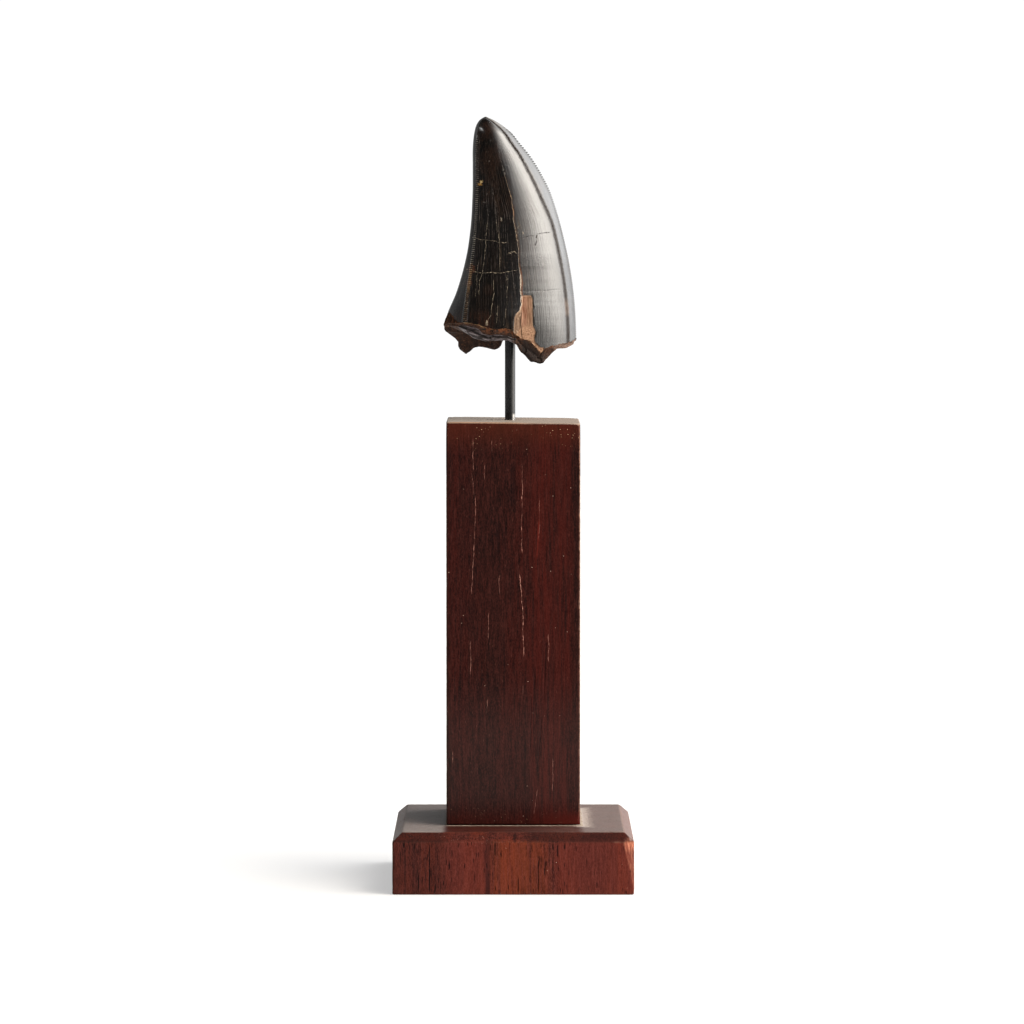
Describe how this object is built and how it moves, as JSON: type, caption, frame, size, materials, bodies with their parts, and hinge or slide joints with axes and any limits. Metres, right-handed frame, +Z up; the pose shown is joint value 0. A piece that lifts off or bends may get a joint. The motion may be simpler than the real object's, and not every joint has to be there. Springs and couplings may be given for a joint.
{
  "type": "fossil tyrannosaur tooth on stand",
  "caption": "Fossil tyrannosaur tooth with serrated keels and a broken base, held point up on a thin rod in a square hardwood column on a chamfered plinth.",
  "frame": {"origin": "centre of the plinth's underside, where the object stands", "axes": "+Z up along the column and the tooth, -Y towards the front, +X to the right seen from the front; the tooth's point curves towards -X"},
  "size_m": [0.068, 0.068, 0.2188],
  "materials": {
    "fossil_enamel": "dark brown-black mineralised enamel, glossy, with tan cracks and a brown broken base",
    "black_steel": "gloss black",
    "stained_wood": "red-brown hardwood with open pores under a satin varnish"
  },
  "bodies": {
    "root": {"tooth": "fossil_enamel", "rod": "black_steel", "column": "stained_wood", "plinth": "stained_wood"}
  },
  "joints": []
}
